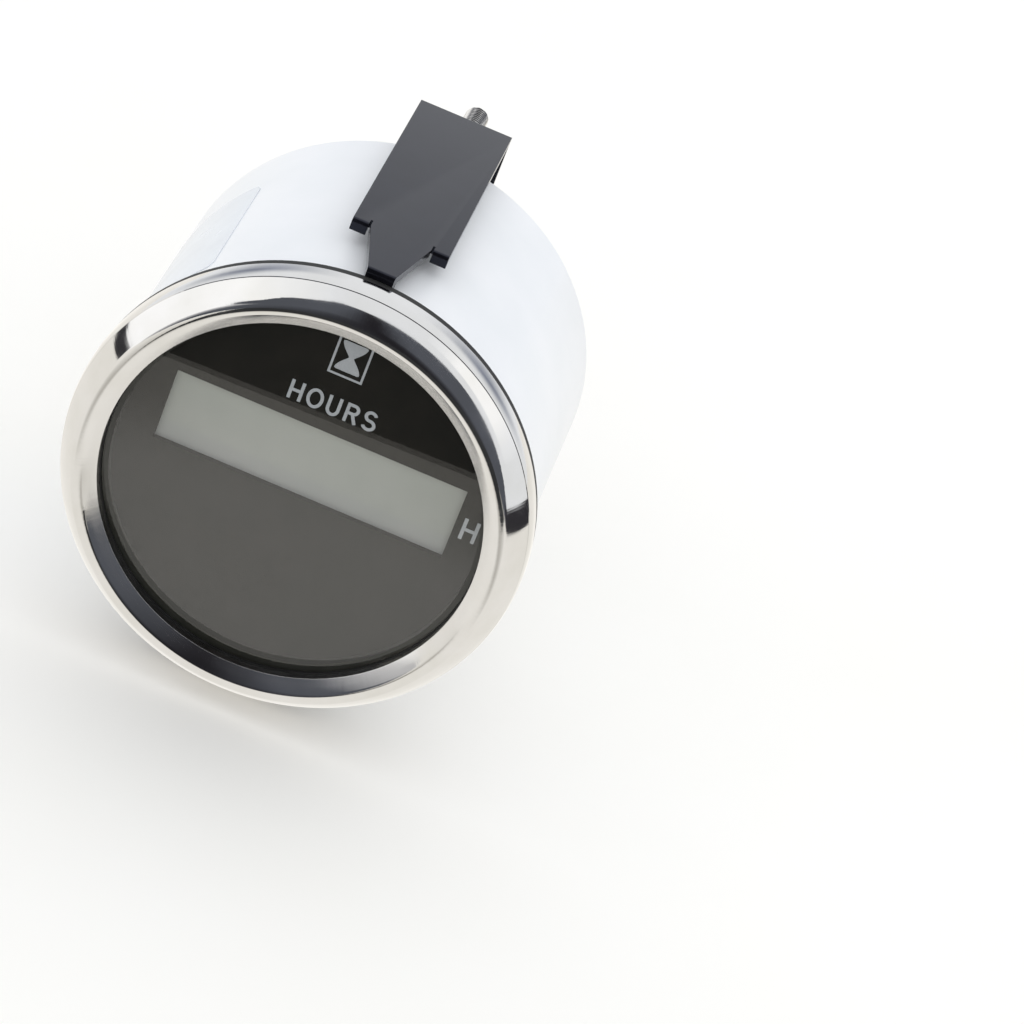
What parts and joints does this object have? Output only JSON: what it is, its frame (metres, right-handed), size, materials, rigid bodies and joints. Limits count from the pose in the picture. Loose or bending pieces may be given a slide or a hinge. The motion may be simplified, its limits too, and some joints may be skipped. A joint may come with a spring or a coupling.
{
  "type": "hour meter",
  "caption": "Round panel hour meter: polished bezel and glass over a black dial with a liquid-crystal window, white barrel with a rear socket, held by a folded clamp bracket on studs.",
  "frame": {"origin": "on the barrel's axis, in the plane where the gasket meets the front face of the panel", "axes": "+Y along the barrel's axis to the rear, so the dial faces -Y; +Z towards the top of the dial; +X to the right as the dial is read"},
  "size_m": [0.0552, 0.0732, 0.057],
  "materials": {
    "housing_plastic": "smooth white moulding",
    "bezel_chrome": "polished",
    "black_rubber": "matt",
    "lens_glass": "clear",
    "dial_black": "matt",
    "display_glass": "satin grey-green",
    "inner_plastic": "smooth",
    "board_green": "lacquered",
    "bright_steel": "zinc plated",
    "package_black": "matt",
    "capacitor_can": "sleeved",
    "socket_plastic": "smooth",
    "pin_brass": "plated",
    "bracket_black": "satin black"
  },
  "bodies": {
    "meter": {"housing": "housing_plastic", "bezel": "bezel_chrome", "panel_gasket": "black_rubber", "lens": "lens_glass", "lens_seal": "black_rubber", "spacer_ring": "dial_black", "dial_plate": "dial_black", "lcd_cell": "display_glass", "lcd_carrier": "inner_plastic", "backlight_panel": "inner_plastic", "backlight_leds": "inner_plastic", "zebra_strip_upper": "black_rubber", "zebra_strip_lower": "black_rubber", "circuit_board": "board_green", "board_screws": "bright_steel", "microcontroller": "package_black", "memory_chip": "package_black", "crystal": "bright_steel", "regulator": "package_black", "capacitor": "capacitor_can", "riser_board": "board_green", "header_shell": "socket_plastic", "header_pins": "pin_brass", "stud_upper": "bright_steel", "stud_lower": "bright_steel"},
    "clamp": {"mounting_bracket": "bracket_black", "washer_upper": "bright_steel", "washer_lower": "bright_steel"},
    "upper_nut": {"nut_upper": "bright_steel"},
    "lower_nut": {"nut_lower": "bright_steel"}
  },
  "joints": [
    {"name": "bracket_slide", "type": "slide", "parent": "meter", "child": "clamp", "axis": [0, 1, 0], "range_m": [0, 0.016]},
    {"name": "nut_upper_turn", "type": "hinge", "parent": "clamp", "child": "upper_nut", "pos_m": [0, 0, 0.02], "axis": [0, 1, 0], "range_deg": [0, 11540]},
    {"name": "nut_lower_turn", "type": "hinge", "parent": "clamp", "child": "lower_nut", "pos_m": [0, 0, -0.02], "axis": [0, 1, 0], "range_deg": [0, 11540]}
  ],
  "couplings": [
    {"joint": "nut_upper_turn", "follows": "bracket_slide", "rad_per_m": 12566},
    {"joint": "nut_lower_turn", "follows": "bracket_slide", "rad_per_m": 12566}
  ]
}
